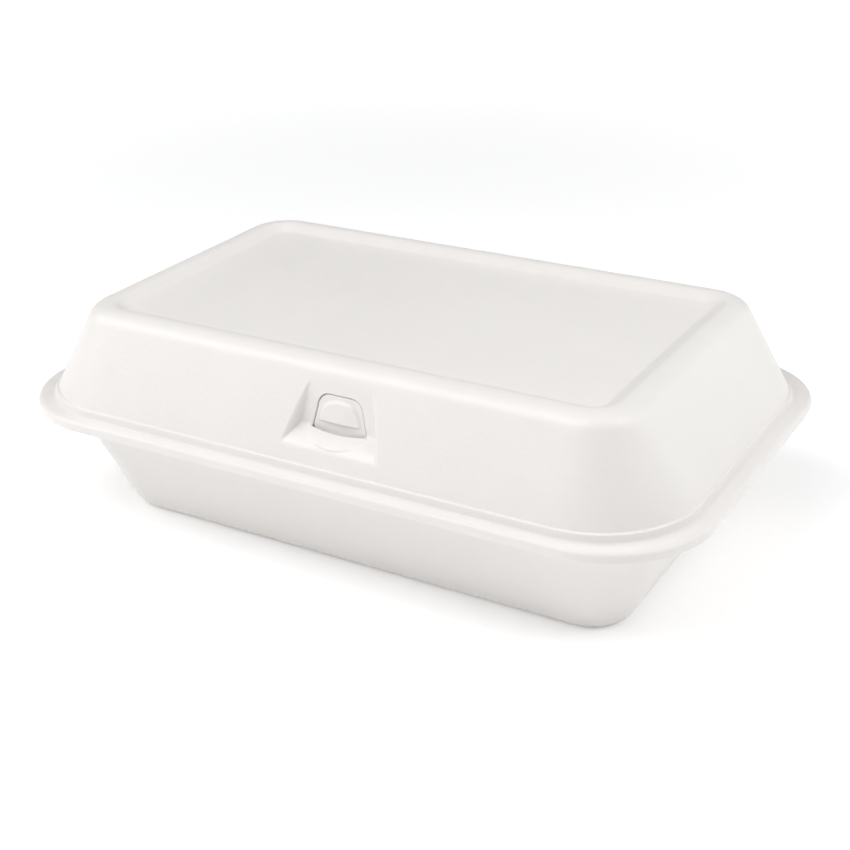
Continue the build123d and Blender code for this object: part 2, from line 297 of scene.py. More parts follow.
def profile(corners):
    """Rows of a profile, from (row, trim, steps to the next corner), and each corner's first row.

    A corner P between points A and B, which lie trim before and after it, becomes the circular
    arc ((1-t)^2 A + 2t(1-t) w P + t^2 B) / ((1-t)^2 + 2t(1-t) w + t^2), where w is the cosine of
    half the turn, measured in front and z. A trim under a millimetre takes fewer points.
    """
    points = np.array([row for row, _, _ in corners], float)
    flat = points[:, [1, 5]]
    rows = []
    firsts = []
    count = 0
    for i, (_, trim, steps) in enumerate(corners):
        if trim > 0:
            before = flat[i - 1] - flat[i]
            after = flat[i + 1] - flat[i]
            before_length = np.linalg.norm(before)
            after_length = np.linalg.norm(after)
            a = points[i] + (points[i - 1] - points[i]) * trim / before_length
            b = points[i] + (points[i + 1] - points[i]) * trim / after_length
            cosine = before @ after / (before_length * after_length)
            weight = math.sqrt((1 - cosine) / 2)
            t = np.linspace(0, 1, ROUND_POINTS if trim >= 1 else SMALL_ROUND_POINTS)[:, None]
            shares = (1 - t) ** 2, 2 * t * (1 - t) * weight, t**2
            arc = (shares[0] * a + shares[1] * points[i] + shares[2] * b) / sum(shares)
        else:
            arc = points[i : i + 1]
        if rows:
            last = rows[-1][-1]
            share = np.arange(1, last_steps)[:, None] / last_steps
            between = last + share * (arc[0] - last)
            rows.append(between)
            count += len(between)
        firsts.append(count)
        rows.append(arc)
        count += len(arc)
        last_steps = steps
    return np.concatenate(rows), firsts


def fan_rows(edge):
    """Rings between a centre and an edge: share s of the way out is centre + s (edge - centre)."""
    centre = np.array([0.0, 0.0, edge[:, 2].mean()])
    shares = (np.arange(FAN_RINGS) + 1) / (FAN_RINGS + 1)
    return centre + shares[:, None, None] * (edge - centre)


def smooth_step(value, low, high):
    """0 below low, 1 above high, and 3t^2 - 2t^3 between them."""
    t = np.clip((value - low) / (high - low), 0, 1)
    return t * t * (3 - 2 * t)


def smooth_max(a, b, width):
    """The larger of a and b, plus h^2 width / 4 with h = 1 - |a-b| / width where they are near."""
    near = np.maximum(width - np.abs(a - b), 0) / width
    return np.maximum(a, b) + near * near * width / 4


def smooth_min(a, b, width):
    """The smaller of a and b, rounded as smooth_max rounds."""
    return -smooth_max(-a, -b, width)


def spaced(path, count):
    """count points evenly spaced along a path of points, its last point left out."""
    path = np.array(path, float)
    lengths = np.concatenate([[0], np.cumsum(np.linalg.norm(np.diff(path, axis=0), axis=1))])
    places = np.arange(count) / count * lengths[-1]
    return np.stack([np.interp(places, lengths, path[:, i]) for i in range(path.shape[1])], axis=1)


# ---------------------------------------------------------------- meshes


def grid_quads(index):
    """Quads between neighbouring rows and columns of an index grid, whose last column meets the first."""
    after = np.roll(index, -1, axis=1)
    return np.stack([index[:-1], index[1:], after[1:], after[:-1]], axis=2)


def fan_triangles(ring, pole):
    """Triangles from each stretch of a closed ring to a pole."""
    return np.stack([ring, np.roll(ring, -1), np.full(len(ring), pole)], axis=1)


def make_piece(name, points, faces, material, slot):
    """Mesh object from points in millimetres: doubles welded, normals outwards, shaded smooth."""
    mesh = bpy.data.meshes.new(name)
    face_list = [face for group in faces for face in group.reshape(-1, group.shape[-1]).tolist()]
    mesh.from_pydata((points * MM).tolist(), [], face_list)
    shaped = bmesh.new()
    shaped.from_mesh(mesh)
    bmesh.ops.remove_doubles(shaped, verts=shaped.verts, dist=WELD * MM)
    bmesh.ops.dissolve_degenerate(shaped, edges=shaped.edges, dist=WELD * MM)
    unused = [vertex for vertex in shaped.verts if not vertex.link_faces]
    bmesh.ops.delete(shaped, geom=unused, context="VERTS")
    bmesh.ops.recalc_face_normals(shaped, faces=shaped.faces)
    shaped.to_mesh(mesh)
    shaped.free()
    mesh.shade_smooth()
    mesh.materials.append(material)
    piece = bpy.data.objects.new(name, mesh)
    bpy.context.scene.collection.objects.link(piece)
    piece.modifiers.new("flats stay flat", "WEIGHTED_NORMAL")
    return piece


def shell_mesh(points, skipped=()):
    """Points and faces of a closed shell from its rows, with a pole at each end of the profile.

    skipped lists blocks (first row, last row, first column, last column) left open.
    """
    rows, columns = points.shape[:2]
    index = np.arange(rows * columns).reshape(rows, columns)
    kept = np.ones((rows - 1, columns), bool)
    for first_row, last_row, first_column, last_column in skipped:
        kept[first_row:last_row, first_column:last_column] = False
    poles = np.array([points[0].mean(axis=0), points[-1].mean(axis=0)])
    poles[:, :2] = 0
    flat = np.concatenate([points.reshape(-1, 3), poles])
    first_pole = rows * columns
    faces = [
        grid_quads(index)[kept],
        fan_triangles(index[0], first_pole)[:, ::-1],
        fan_triangles(index[-1], first_pole + 1),
    ]
    return flat, faces


def hinge_notch(points):
    """Draws the rear rim in along the fold, from RIM_REAR to NOTCH_Y.

    Each y past NOTCH_START moves in by its share of that depth, faded by a smooth step in x.
    """
    full = FOLD_HALF_LENGTH - NOTCH_FULL_BEFORE_END
    gone = FOLD_HALF_LENGTH + NOTCH_GONE_AFTER_END
    inside = 1 - smooth_step(np.abs(points[..., 0]), full, gone)
    depth = RIM_REAR - NOTCH_Y
    beyond = np.maximum(points[..., 1] - NOTCH_START, 0) / (RIM_REAR - NOTCH_START)
    moved = points.copy()
    moved[..., 1] -= inside * beyond * depth
    return moved


# ---------------------------------------------------------------- tray


def rim_row(z, inset, rear_inset=None):
    """Row of the rim's outline at height z, drawn in by inset, or by rear_inset at the rear."""
    rear = RIM_REAR - (inset if rear_inset is None else rear_inset)
    return (
        RIM_HALF_LENGTH - inset,
        RIM_FRONT - inset,
        rear,
        RIM_FRONT_RADIUS - inset,
        RIM_REAR_RADIUS - inset,
        z,
    )


def even_row(z, half_length, half_width, radius):
    """Row that is the same in front and at the rear."""
    return half_length, half_width, half_width, radius, radius, z


def tray_row(z, inset, extra=0.0):
    """Row of the tray's wall, which leans in by its share of the height, drawn in by inset + extra."""
    share = 1 - z / PARTING
    radius = TRAY_MOUTH_RADIUS + (TRAY_BOTTOM_RADIUS - TRAY_MOUTH_RADIUS) * share - inset
    return even_row(
        z,
        TRAY_HALF_LENGTH - TRAY_END_LEAN * share - inset - extra,
        TRAY_HALF_WIDTH - TRAY_SIDE_LEAN * share - inset - extra,
        max(radius - extra, TRAY_LEAST_RADIUS),
    )


def make_tray(columns, foam):
    """Tray shell: rounded rectangles along a profile up the inside, over the rim and down outside."""
    seat = PARTING - LID_SEAT_GAP
    rim_bottom = PARTING - TRAY_RIM_THICKNESS
    # row, trim of its rounding, steps to the next corner
    corners = [
        (tray_row(FOAM, TRAY_WALL_INSET, TRAY_FLAT_INSET), 0, 4),
        (tray_row(FOAM, TRAY_WALL_INSET), 2.89, 20),
        (tray_row(seat, TRAY_WALL_INSET), 0.97, 4),
        (rim_row(seat, TRAY_RIM_INSET, 0), 0.7, 2),
        (rim_row(rim_bottom, TRAY_RIM_INSET, 0), 0.7, 4),
        (tray_row(rim_bottom, 0), 1.3, 20),
        (tray_row(0, 0), 2.89, 4),
        (tray_row(0, 0, TRAY_FLAT_INSET), 0, 1),
    ]
    rows, _ = profile(corners)
    points = hinge_notch(swept(rows, columns))
    points = np.concatenate([fan_rows(points[0]), points, fan_rows(points[-1])[::-1]])
    piece = make_piece("tray_shell", *shell_mesh(points), foam, "foam")
    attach(piece, "tray")
    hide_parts("base_tray")


# ---------------------------------------------------------------- lid


def wall_row(z, inset):
    """Row of the lid's wall, which leans in by its share of the height, drawn in by inset."""
    share = (z - WALL_FOOT) / (LID_TOP - WALL_FOOT)
    return even_row(
        z,
        FOOT_HALF_LENGTH - LID_END_LEAN * share - inset,
        FOOT_HALF_WIDTH - LID_SIDE_LEAN * share - inset,
        FOOT_RADIUS + (LID_TOP_RADIUS - FOOT_RADIUS) * share - inset,
    )


def riser_row(z, inset):
    """Row of the short riser between rim and wall, drawn in by inset."""
    lean = RISER_LEAN * (z - RIM_TOP) / (WALL_FOOT - RIM_TOP) + inset
    return even_row(z, RISER_HALF_LENGTH - lean, RISER_HALF_WIDTH - lean, FOOT_RADIUS - inset)


def panel_row(z, grow, extra=0.0):
    """Row of the sunken panel's sloping step, let out by grow and drawn in by extra."""
    inset = PANEL_STEP_LEAN * (LID_TOP - z) / PANEL_DEPTH - grow + extra
    return even_row(
        z,
        FOOT_HALF_LENGTH - LID_END_LEAN - PANEL_MARGIN - inset,
        FOOT_HALF_WIDTH - LID_SIDE_LEAN - PANEL_MARGIN - inset,
        max(PANEL_RADIUS - inset, PANEL_LEAST_RADIUS),
    )


def wall_front(z):
    """Y of the lid's front wall at height z, a straight line from foot to top."""
    return -(FOOT_HALF_WIDTH - LID_SIDE_LEAN * (z - WALL_FOOT) / (LID_TOP - WALL_FOOT))


def pocket_planes():
    """The pocket's panel and ledge as (y at z = 0, slope), and its ends as x = a + b y + c z."""
    top = np.array([wall_front(POCKET_TOP_Z), POCKET_TOP_Z])
    back = np.array([top[0] - POCKET_PANEL_LEAN, POCKET_BACK_Z])
    front = np.array([wall_front(POCKET_FRONT_Z), POCKET_FRONT_Z])
    panel_slope = (top[0] - back[0]) / (top[1] - back[1])
    ledge_slope = (back[0] - front[0]) / (back[1] - front[1])
    places = np.array([[1, *top], [1, *back], [1, *front]])
    widths = [POCKET_TOP_HALF_WIDTH, POCKET_BACK_HALF_WIDTH, POCKET_FRONT_HALF_WIDTH]
    end_plane = np.linalg.solve(places, widths)
    return (
        (back[0] - panel_slope * back[1], panel_slope),
        (back[0] - ledge_slope * back[1], ledge_slope),
        end_plane,
    )


def pocket_depth(x, z, grow):
    """Y of the pocket's panel, ledge and ends over (x, z), each let out by grow.

    Each is a plane, and the pocket is the least of them, with rounded creases.
    """
    (panel, panel_slope), (ledge, ledge_slope), (a, b, c) = pocket_planes()
    panel_y = panel + panel_slope * z + grow * math.hypot(1, panel_slope)
    ledge_y = ledge + ledge_slope * z + grow * math.hypot(1, ledge_slope)
    end_y = (np.abs(x) - grow * math.hypot(1, b, c) - a - c * z) / b
    return smooth_min(smooth_min(panel_y, ledge_y, LEDGE_CREASE), end_y, END_CREASE)


def outer_wall(x, z):
    """Y of the lid's front over (x, z): the greater of wall and pocket, and a faint arc on the ledge.

    The crease between wall and pocket is soft at the ledge and sharp at the top. Inside the arc's
    circle, whose lowest point lies just below the ledge, the front stands out by LEDGE_ARC_RISE.
    """
    top_blend = smooth_step(z, *SOFTNESS_CHANGE)
    softness = LEDGE_SOFTNESS + (POCKET_TOP_SOFTNESS - LEDGE_SOFTNESS) * top_blend
    y = smooth_max(wall_front(z), pocket_depth(x, z, 0), softness)
    inside = LEDGE_ARC_RADIUS - np.hypot(x, z - LEDGE_ARC_LOW_Z - LEDGE_ARC_RADIUS)
    arc = smooth_step(inside, 0, LEDGE_ARC_EDGE) * (1 - smooth_step(z, *LEDGE_ARC_FADE_Z))
    arc = arc * (1 - smooth_step(np.abs(x), *LEDGE_ARC_FADE_X))
    return y - LEDGE_ARC_RISE * arc


def inner_wall(x, z):
    """Y of the lid's inside over (x, z): the greater of wall and grown pocket."""
    return smooth_max(wall_front(z) + LID_WALL_INSET, pocket_depth(x, z, FOAM), INSIDE_CREASE)


def lip_bite(x):
    """How far the window's lower edge bites into the ledge at x: a parabola, deepest in the middle."""
    return LIP_BITE * (1 - (x / LIP_HALF_WIDTH) ** 2)


def lip_z(x):
    """Height of the window's lower edge on the ledge at x."""
    ledge_slope = pocket_planes()[1][1]
    return POCKET_BACK_Z - lip_bite(x) / ledge_slope


def lip_drop():
    """How much lower the window's edge lies on the inside of the ledge."""
    ledge_slope = pocket_planes()[1][1]
    return FOAM * math.hypot(1, ledge_slope) / ledge_slope


def window_outline(drop, grow, low_grow):
    """Arch as (x, z) in the order of the patch's border: bottom, right, top and left.

    The bottom follows the lip's parabola, lowered by drop. The sides run up to the shoulder, lean in,
    and turn into the top by quarter circles of WINDOW_ROUNDING. grow lets the sides and the top out,
    and low_grow the bottom.
    """
    half_width = WINDOW_HALF_WIDTH + grow
    radius = WINDOW_ROUNDING + grow
    low_x = np.linspace(-half_width, half_width, PATCH_COLUMNS + 1)
    bottom = np.stack([low_x, lip_z(low_x) - drop - low_grow], axis=1)
    angles = np.linspace(0, math.pi / 2, WINDOW_CORNER_POINTS)
    centre = np.array([WINDOW_TOP_HALF_WIDTH, WINDOW_TOP_Z]) - WINDOW_ROUNDING
    arc = centre + radius * np.stack([np.cos(angles), np.sin(angles)], axis=1)
    right = np.array([bottom[-1], (half_width, POCKET_BACK_Z), arc[0]])
    mirror = np.array([-1, 1])
    return np.concatenate(
        [
            bottom[:-1],
            spaced(right, PATCH_ROWS),
            spaced([*arc, *(arc[::-1] * mirror)], PATCH_COLUMNS),
            spaced(right[::-1] * mirror, PATCH_ROWS),
        ]
    )


def pocket_outline():
    """Trapezium a little outside the pocket's edge, as (x, z) in the border's order."""
    low, high = SURROUND_LOW, SURROUND_HIGH
    mirror = np.array([-1, 1])
    return np.concatenate(
        [
            spaced([low * mirror, low], PATCH_COLUMNS),
            spaced([low, high], PATCH_ROWS),
            spaced([high, high * mirror], PATCH_COLUMNS),
            spaced([high * mirror, low * mirror], PATCH_ROWS),
        ]
    )


def border_loop(points, low_row, high_row, first, last):
    """The patch's border from the swept grid: bottom to the right, up, top to the left, down."""
    step = 1 if high_row > low_row else -1
    up = np.arange(low_row, high_row, step)
    down = np.arange(high_row, low_row, -step)
    return np.concatenate(
        [
            points[low_row, first:last],
            points[up, last],
            points[high_row, last:first:-1],
            points[down, first],
        ]
    )


def patch_rings(border, window, surface):
    """Rings (ring, place, xyz) from the window's edge by the pocket's outline to the border.

    Each ring lies between two outlines by its share in (x, z), and surface gives its y.
    """
    pocket = pocket_outline()
    edge = np.stack([border[:, 0] - TAB_X, border[:, 2]], axis=1)
    near = np.linspace(0, 1, POCKET_RINGS + 1)[:, None, None]
    far = np.linspace(0, 1, SURROUND_RINGS + 1)[1:, None, None]
    flat = np.concatenate([window + near * (pocket - window), pocket + far * (edge - pocket)])
    x = flat[..., 0]
    z = flat[..., 1]
    rings = np.stack([x + TAB_X, surface(x, z), z], axis=2)
    rings[-1] = border
    return rings


def window_wall(outer_edge, inner_edge, outer_skin, inner_skin):
    """Rings through the foam from the outer skin to the inner one, with rounded edges.

    At a sharp edge E between A on the skin and B down the wall, the rounding passes through
    ROUND_END_SHARE (A + B) + ROUND_CORNER_SHARE E.
    """
    way = inner_edge - outer_edge
    way = way / np.linalg.norm(way, axis=1, keepdims=True)
    outer_wall_edge = outer_edge + way * EDGE_ROUNDING
    inner_wall_edge = inner_edge - way * EDGE_ROUNDING
    outer_middle = ROUND_END_SHARE * (outer_skin + outer_wall_edge) + ROUND_CORNER_SHARE * outer_edge
    inner_middle = ROUND_END_SHARE * (inner_skin + inner_wall_edge) + ROUND_CORNER_SHARE * inner_edge
    return np.stack(
        [outer_skin, outer_middle, outer_wall_edge, inner_wall_edge, inner_middle, inner_skin]
    )


def on_surface(flat, surface):
    """Points of a flat (x, z) outline on the front's surface."""
    return np.stack([flat[:, 0] + TAB_X, surface(flat[:, 0], flat[:, 1]), flat[:, 1]], axis=1)


def fade_skirt(points):
    """The skirt shortens to almost nothing towards the rear corners.

    Its drop below the parting is scaled by a smooth step in y, but not below SKIRT_LEFT_SHARE.
    """
    left = 1 - smooth_step(points[..., 1], SKIRT_END_Y - SKIRT_FADE, SKIRT_END_Y + SKIRT_FADE)
    drop = np.maximum(PARTING - points[..., 2], 0)
    moved = points.copy()
    moved[..., 2] += drop * (1 - np.maximum(left, SKIRT_LEFT_SHARE))
    return moved


def make_lid(columns, front, foam):
    """Lid shell: rounded rectangles along a profile over the outside, round the rim and up inside.

    A patch in the front wall, outside and inside, is left open and filled with the pocket's rings.
    """
    panel_floor = LID_TOP - PANEL_DEPTH
    ceiling = LID_TOP - FOAM
    slope_thickness = FOAM * math.hypot(1, PANEL_STEP_LEAN / PANEL_DEPTH)
    # row, trim of its rounding, steps to the next corner
    corners = [
        (panel_row(panel_floor, 0, PANEL_FLAT_INSET), 0, 3),
        (panel_row(panel_floor, 0), 1.0, 4),
        (panel_row(LID_TOP, 0), 1.2, 2),
        (wall_row(LID_TOP, 0), 3.7, 1),
        (wall_row(PATCH_HIGH_Z, 0), 0, PATCH_ROWS),
        (wall_row(PATCH_LOW_Z, 0), 0, 2),
        (wall_row(WALL_FOOT, 0), 0.28, 1),
        (riser_row(WALL_FOOT, 0), 0.28, 2),
        (riser_row(RIM_TOP, 0), 0.8, 3),
        (rim_row(RIM_TOP, 0), 1.3, 2),
        (rim_row(SKIRT_BOTTOM, 0), 0.5, 1),
        (rim_row(SKIRT_BOTTOM, SKIRT_THICKNESS), 0.35, 1),
        (rim_row(PARTING, SKIRT_THICKNESS), 0.3, 3),
        (riser_row(PARTING, FOAM), 0.8, 3),
        (wall_row(WALL_FOOT, LID_WALL_INSET), 1.4, 1),
        (wall_row(PATCH_LOW_Z, LID_WALL_INSET), 0, PATCH_ROWS),
        (wall_row(PATCH_HIGH_Z_INSIDE, LID_WALL_INSET), 0, 1),
        (wall_row(ceiling, LID_WALL_INSET), 2.07, 1),
        (panel_row(ceiling, slope_thickness), 0.6, 2),
        (panel_row(panel_floor - FOAM, slope_thickness), 1.2, 3),
        (panel_row(panel_floor - FOAM, slope_thickness, CEILING_FLAT_INSET), 0, 1),
    ]
    rows, firsts = profile(corners)
    points = fade_skirt(hinge_notch(swept(rows, columns)))
    points = np.concatenate([fan_rows(points[0]), points, fan_rows(points[-1])[::-1]])
    # Grid rows of the corners at PATCH_HIGH_Z and PATCH_LOW_Z outside, then low and high inside
    outer_high, outer_low, inner_low, inner_high = (firsts[i] + FAN_RINGS for i in (4, 5, 15, 16))
    first, last = front, front + PATCH_COLUMNS
    skipped = [(outer_high, outer_low, first, last), (inner_low, inner_high, first, last)]
    shell_points, faces = shell_mesh(points, skipped)

    drop = lip_drop()
    outer_border = border_loop(points, outer_low, outer_high, first, last)
    inner_border = border_loop(points, inner_low, inner_high, first, last)
    outer_rings = patch_rings(
        outer_border, window_outline(0, EDGE_ROUNDING, EDGE_ROUNDING / 2), outer_wall
    )
    inner_rings = patch_rings(
        inner_border, window_outline(drop, EDGE_ROUNDING, EDGE_ROUNDING / 2), inner_wall
    )
    wall_rings = window_wall(
        on_surface(window_outline(0, 0, 0), outer_wall),
        on_surface(window_outline(drop, 0, 0), inner_wall),
        outer_rings[0],
        inner_rings[0],
    )
    all_points = [shell_points]
    offset = len(shell_points)
    for rings in (outer_rings[::-1], wall_rings, inner_rings):
        index = offset + np.arange(rings.shape[0] * rings.shape[1]).reshape(rings.shape[:2])
        faces.append(grid_quads(index).reshape(-1, 4))
        all_points.append(rings.reshape(-1, 3))
        offset += index.size
    piece = make_piece("lid_shell", np.concatenate(all_points), faces, foam, "foam")
    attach(piece, "lid")
    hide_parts("lid")


# ---------------------------------------------------------------- lock tab


def tab_front(x, z, root_y, root_z):
    """Y of the tab's front over (x, z), without the nose.

    It stands straight at the root, leans back to pass behind the lip by LIP_CLEARANCE at each x, and
    then lies behind the pocket's panel by PLATE_RECESS. The turns are rounded.
    """
    (panel, panel_slope), (ledge, ledge_slope), _ = pocket_planes()
    lip_y = ledge + ledge_slope * lip_z(x)
    lip_low = lip_z(x) - lip_drop()
    root_front = root_y - TAB_THICKNESS / 2
    lean = (lip_y + LIP_CLEARANCE - root_front) / (lip_low - root_z)
    tongue = root_front + lean * smooth_max(z - root_z, np.zeros_like(z), TAB_ROOT_SOFTNESS)
    return smooth_min(tongue, panel + panel_slope * z + PLATE_RECESS, TAB_BEND_SOFTNESS)


def nose_front(x, z, plate):
    """Y of the nose over (x, z), which is the plate's y outside the nose.

    The nose's front is a circle about the fold, so that the lip passes it, drawn back by NOSE_CROWN
    times a square of x. It rises over NOSE_FLANK from its sides and top, which meet in a rounding,
    and over half of that from its lower edge.
    """
    low = lip_z(0) + NOSE_LOWER_GAP
    top = WINDOW_TOP_Z - NOSE_TOP_GAP
    half_width = np.interp(z, [low, top], [NOSE_HALF_WIDTH, NOSE_TOP_HALF_WIDTH])
    inside = smooth_min(half_width - np.abs(x), top - z, NOSE_ROUNDING)
    rise = smooth_step(inside, 0, NOSE_FLANK) * smooth_step(z, low, low + NOSE_FLANK / 2)
    ledge, ledge_slope = pocket_planes()[1]
    lip_y = ledge + ledge_slope * lip_z(0)
    reach = math.hypot(HINGE_Y - lip_y, lip_z(0) - lip_drop() - HINGE_Z) - NOSE_LIP_GAP
    nose = HINGE_Y - np.sqrt(reach**2 - (z - HINGE_Z) ** 2) + NOSE_CROWN * (x / NOSE_HALF_WIDTH) ** 2
    return plate + rise * (nose - plate)


def make_lock_tab(foam):
    """Tongue, plate and nose of the lock tab, as rounded rectangles stacked along z.

    The plate fills the window with TAB_WINDOW_GAP to spare, and its top corners are quarter circles.
    The root flares by TAB_ROOT_FLARE into the tray's rim, also by a quarter circle.
    """
    root_y, root_z = joint_place("tab_flex")[1:]
    tip = WINDOW_TOP_Z - TAB_WINDOW_GAP
    tip_radius = WINDOW_ROUNDING - TAB_WINDOW_GAP
    z = np.concatenate(
        [
            np.linspace(PARTING - TAB_ROOT_DEPTH, lip_z(0), TONGUE_ROWS, endpoint=False),
            np.linspace(lip_z(0), tip - TAB_EDGE_ROUNDING, PLATE_ROWS, endpoint=False),
            tip - TAB_EDGE_ROUNDING * np.cos(np.linspace(0, math.pi / 2, TIP_ROWS)),
        ]
    )
    plate_half_width = WINDOW_HALF_WIDTH - TAB_WINDOW_GAP
    top_half_width = WINDOW_TOP_HALF_WIDTH - TAB_WINDOW_GAP
    places = [PARTING, POCKET_BACK_Z, tip - tip_radius]
    half_width = np.interp(z, places, [TAB_ROOT_HALF_WIDTH, plate_half_width, top_half_width])
    round_share = np.clip((z - tip + tip_radius) / tip_radius, 0, 1)
    half_width = half_width - tip_radius * (1 - np.sqrt(1 - round_share**2))
    flare_share = np.clip(1 - (z - PARTING) / TAB_ROOT_FLARE, 0, 1)
    flare = TAB_ROOT_FLARE * (1 - np.sqrt(1 - flare_share**2))
    half_width = half_width + flare
    edge_share = np.clip((z - tip + TAB_EDGE_ROUNDING) / TAB_EDGE_ROUNDING, 0, 1)
    drawn_in = TAB_EDGE_ROUNDING * (1 - np.sqrt(1 - edge_share**2))
    plate = tab_front(np.minimum(half_width, plate_half_width), z, root_y, root_z)
    front_y = plate + drawn_in - flare
    back_y = plate + TAB_THICKNESS - drawn_in
    largest_radius = TAB_LARGEST_RADIUS_SHARE * np.minimum(back_y - front_y, half_width)
    radius = np.minimum(TAB_EDGE_ROUNDING, largest_radius)
    rows = np.stack([half_width, -front_y, back_y, radius, radius, z], axis=1)
    columns, across = make_columns(patch_columns=0, corner=6, side=4, front=36, rear=20)
    end, x0, _, ny = columns[:4]
    # Both front stretches become one with even steps and no fixed x0
    x0[: 2 * across] = 0
    end[: 2 * across] = np.arange(2 * across) / across - 1
    points = swept(rows, columns)
    on_front = ny == -1
    x, height = points[:, on_front, 0], points[:, on_front, 2]
    crown = tab_front(x, height, root_y, root_z) - plate[:, None]
    points[:, on_front, 1] = nose_front(x, height, points[:, on_front, 1] + crown)
    points[..., 0] += TAB_X
    count, around = points.shape[:2]
    index = np.arange(count * around).reshape(count, around)
    flat = np.concatenate([points.reshape(-1, 3), points[[0, -1]].mean(axis=1)])
    faces = [
        grid_quads(index).reshape(-1, 4),
        fan_triangles(index[0], count * around)[:, ::-1],
        fan_triangles(index[-1], count * around + 1),
    ]
    piece = make_piece("lock_tab_foam", flat, faces, foam, "foam")
    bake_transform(piece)
    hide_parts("lock_tab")


# ---------------------------------------------------------------- fold


def make_fold(pressed):
    """Pressed fold: a U round the hinge axis, carried along x, with a leg let into each rim.

    The skins are half circles of the two radii, and the legs' outer skins slope into the rims.
    Towards each end the section shrinks to its middle by FOLD_END_SHRINK times a square.
    """
    angles = np.linspace(-math.pi / 2, math.pi / 2, FOLD_BEND_POINTS)
    leg = np.linspace(1, 0, FOLD_LEG_POINTS, endpoint=False)

    def skin(radius, swell):
        """One skin as (y, z) about the axis: lower leg, half circle and upper leg."""
        lower = np.stack([-FOLD_LEG * leg, -(radius + swell * leg)], axis=1)
        bend = radius * np.stack([np.cos(angles), np.sin(angles)], axis=1)
        upper = np.stack([-FOLD_LEG * leg[::-1], radius + swell * leg[::-1]], axis=1)
        return np.concatenate([lower, bend, upper])

    swell = FOLD_INNER_RADIUS + FOLD_LEG_THICKNESS - FOLD_OUTER_RADIUS
    section = np.concatenate([skin(FOLD_OUTER_RADIUS, swell), skin(FOLD_INNER_RADIUS, 0)[::-1]])
    x = np.linspace(-FOLD_HALF_LENGTH, FOLD_HALF_LENGTH, FOLD_SECTIONS)
    near_end = np.clip((np.abs(x) - FOLD_HALF_LENGTH + FOLD_END_LENGTH) / FOLD_END_LENGTH, 0, 1)
    size = 1 - FOLD_END_SHRINK * near_end**2
    centre = np.array([FOLD_MIDDLE_Y, 0.0])
    flat = centre + size[:, None, None] * (section - centre)
    along = np.broadcast_to(x[:, None], flat.shape[:2])
    points = np.stack([along, flat[..., 0] + HINGE_Y, flat[..., 1] + HINGE_Z], axis=2)
    count, around = points.shape[:2]
    index = np.arange(count * around).reshape(count, around)
    half = around // 2
    caps = [
        np.stack([row[:half][:-1], row[:half][1:], row[::-1][1:half], row[::-1][: half - 1]], axis=1)
        for row in (index[0], index[-1])
    ]
    faces = [grid_quads(index).reshape(-1, 4), *caps]
    piece = make_piece("fold_web", points.reshape(-1, 3), faces, pressed, "pressed_foam")
    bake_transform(piece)
    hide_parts("hinge_strip")


# ---------------------------------------------------------------- materials


def linear(hex_colour):
    """An sRGB hex colour as linear RGBA: c / 12.92 up to 0.04045, else ((c + 0.055) / 1.055)^2.4."""
    values = [int(hex_colour[i : i + 2], 16) / 255 for i in (1, 3, 5)]
    return (*(c / 12.92 if c <= 0.04045 else ((c + 0.055) / 1.055) ** 2.4 for c in values), 1.0)


def add_node(tree, kind, inputs=None, **settings):
    """Adds a node, with its settings, and each input given a value or linked to a socket."""
    made = tree.nodes.new(kind)
    for name, value in settings.items():
        setattr(made, name, value)
    for name, value in (inputs or {}).items():
        if isinstance(value, bpy.types.NodeSocket):
            tree.links.new(value, made.inputs[name])
        else:
            made.inputs[name].default_value = value
    return made


# Millimetres: how deep light goes into the foam, and the size of cells, waves and mottle
GLOW_DEPTH = 1.0
CELL_SIZE = 1.1
WAVE_LENGTH = 9.0
MOTTLE_SIZE = 26.0

# Share of the light that goes into the foam, and the mottle's two whites
GLOW_SHARE = 0.3
FOAM_DARK = "#E8E5E2"
FOAM_LIGHT = "#EDEAE7"

# How far the waves take the roughness down and up. It stays above 0.28, because denoising
# leaves streaks on smoother foam.
SMOOTHER = 0.05
ROUGHER = 0.06


